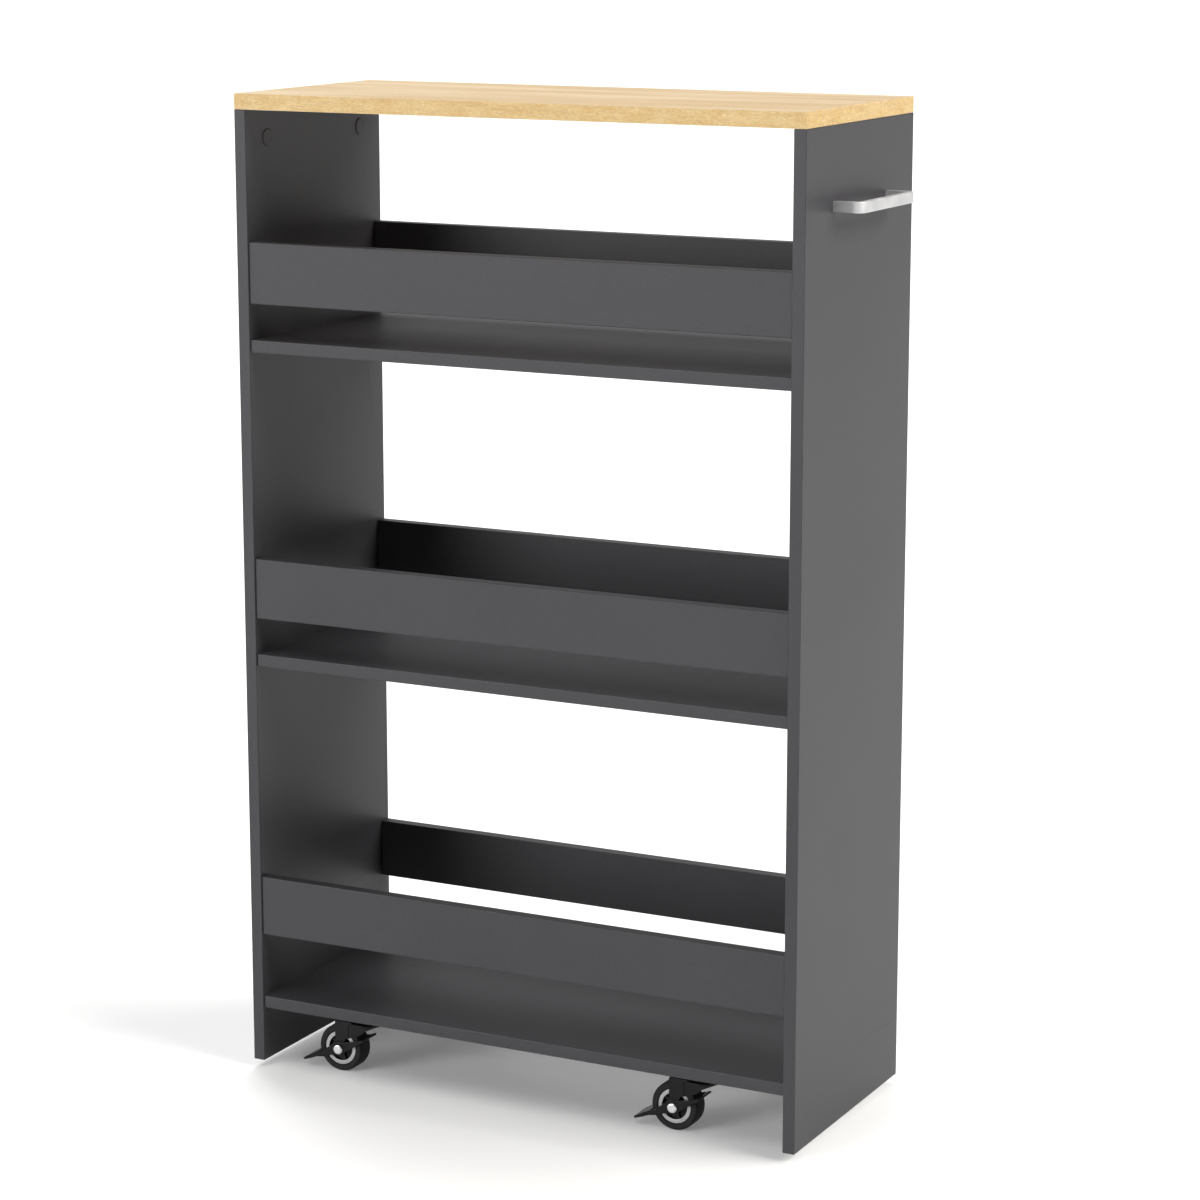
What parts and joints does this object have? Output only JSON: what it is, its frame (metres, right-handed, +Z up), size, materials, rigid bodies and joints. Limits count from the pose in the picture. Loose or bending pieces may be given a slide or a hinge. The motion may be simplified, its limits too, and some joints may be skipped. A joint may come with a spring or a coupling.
{
  "type": "rolling pantry cart",
  "caption": "Slim rolling pantry cart: open board carcass with a wood-look top, railed open shelves, a side pull handle, and swivel casters with foot brakes.",
  "frame": {"origin": "on the floor under the casters, at the centre of the whole cart's bounding box", "axes": "+Z up, +Y from the front (the side with the braked casters) to the back, +X along the shelves towards the side panel with the pull handle"},
  "size_m": [0.608, 0.245, 0.95],
  "materials": {
    "oak_laminate": "satin light oak wood-grain laminate",
    "charcoal_laminate": "matte charcoal grey laminate on particleboard",
    "beech": "raw fluted beech",
    "zinc_steel": "bright zinc plate",
    "black_zinc": "black zinc plate",
    "satin_nickel": "satin brushed nickel",
    "grey_plastic": "matte grey sheet plastic",
    "black_steel": "satin black coated steel",
    "polished_steel": "polished",
    "black_plastic": "moulded black nylon",
    "silver_plastic": "satin silver-grey",
    "tyre_rubber": "matte black rubber"
  },
  "bodies": {
    "carcass": {"top_board": "oak_laminate", "left_side_panel": "charcoal_laminate", "right_side_panel": "charcoal_laminate", "upper_shelf": "charcoal_laminate", "middle_shelf": "charcoal_laminate", "lower_shelf": "charcoal_laminate", "upper_front_rail": "charcoal_laminate", "upper_back_rail": "charcoal_laminate", "middle_front_rail": "charcoal_laminate", "middle_back_rail": "charcoal_laminate", "lower_front_rail": "charcoal_laminate", "lower_back_rail": "charcoal_laminate", "cam_bolts": "zinc_steel", "cam_locks": "zinc_steel", "wooden_dowels": "beech", "cam_cover_caps": "grey_plastic", "pull_handle": "satin_nickel", "handle_screws": "zinc_steel", "caster_kingpins": "zinc_steel", "swivel_bearing_balls": "zinc_steel", "caster_screws": "black_zinc", "front_left_caster_plate": "black_steel", "front_left_swivel_race": "black_steel", "front_right_caster_plate": "black_steel", "front_right_swivel_race": "black_steel", "rear_left_caster_plate": "black_steel", "rear_left_swivel_race": "black_steel", "rear_right_caster_plate": "black_steel", "rear_right_swivel_race": "black_steel"},
    "front_left_swivel": {"front_left_fork": "black_steel", "front_left_axle": "polished_steel"},
    "front_left_wheel": {"front_left_wheel_hub": "black_plastic", "front_left_rim_rings": "silver_plastic", "front_left_tyre": "tyre_rubber"},
    "front_left_brake": {"front_left_brake_lever": "black_steel"},
    "front_right_swivel": {"front_right_fork": "black_steel", "front_right_axle": "polished_steel"},
    "front_right_wheel": {"front_right_wheel_hub": "black_plastic", "front_right_rim_rings": "silver_plastic", "front_right_tyre": "tyre_rubber"},
    "front_right_brake": {"front_right_brake_lever": "black_steel"},
    "rear_left_swivel": {"rear_left_fork": "black_steel", "rear_left_axle": "polished_steel"},
    "rear_left_wheel": {"rear_left_wheel_hub": "black_plastic", "rear_left_rim_rings": "silver_plastic", "rear_left_tyre": "tyre_rubber"},
    "rear_right_swivel": {"rear_right_fork": "black_steel", "rear_right_axle": "polished_steel"},
    "rear_right_wheel": {"rear_right_wheel_hub": "black_plastic", "rear_right_rim_rings": "silver_plastic", "rear_right_tyre": "tyre_rubber"}
  },
  "joints": [
    {"name": "front_left_swivel_turn", "type": "hinge", "parent": "carcass", "child": "front_left_swivel", "pos_m": [-0.1955, -0.0855, 0.052], "axis": [0, 0, 1], "continuous": true},
    {"name": "front_left_wheel_spin", "type": "hinge", "parent": "front_left_swivel", "child": "front_left_wheel", "pos_m": [-0.2215, -0.0855, 0.0235], "axis": [0, 1, 0], "continuous": true},
    {"name": "front_left_brake_press", "type": "hinge", "parent": "front_left_swivel", "child": "front_left_brake", "pos_m": [-0.2215, -0.0855, 0.0235], "axis": [0, 1, 0], "range_deg": [0, 16]},
    {"name": "front_right_swivel_turn", "type": "hinge", "parent": "carcass", "child": "front_right_swivel", "pos_m": [0.1675, -0.0855, 0.052], "axis": [0, 0, 1], "continuous": true},
    {"name": "front_right_wheel_spin", "type": "hinge", "parent": "front_right_swivel", "child": "front_right_wheel", "pos_m": [0.1415, -0.0855, 0.0235], "axis": [0, 1, 0], "continuous": true},
    {"name": "front_right_brake_press", "type": "hinge", "parent": "front_right_swivel", "child": "front_right_brake", "pos_m": [0.1415, -0.0855, 0.0235], "axis": [0, 1, 0], "range_deg": [0, 16]},
    {"name": "rear_left_swivel_turn", "type": "hinge", "parent": "carcass", "child": "rear_left_swivel", "pos_m": [-0.1955, 0.0855, 0.052], "axis": [0, 0, 1], "continuous": true},
    {"name": "rear_left_wheel_spin", "type": "hinge", "parent": "rear_left_swivel", "child": "rear_left_wheel", "pos_m": [-0.2215, 0.0855, 0.0235], "axis": [0, 1, 0], "continuous": true},
    {"name": "rear_right_swivel_turn", "type": "hinge", "parent": "carcass", "child": "rear_right_swivel", "pos_m": [0.1675, 0.0855, 0.052], "axis": [0, 0, 1], "continuous": true},
    {"name": "rear_right_wheel_spin", "type": "hinge", "parent": "rear_right_swivel", "child": "rear_right_wheel", "pos_m": [0.1415, 0.0855, 0.0235], "axis": [0, 1, 0], "continuous": true}
  ]
}
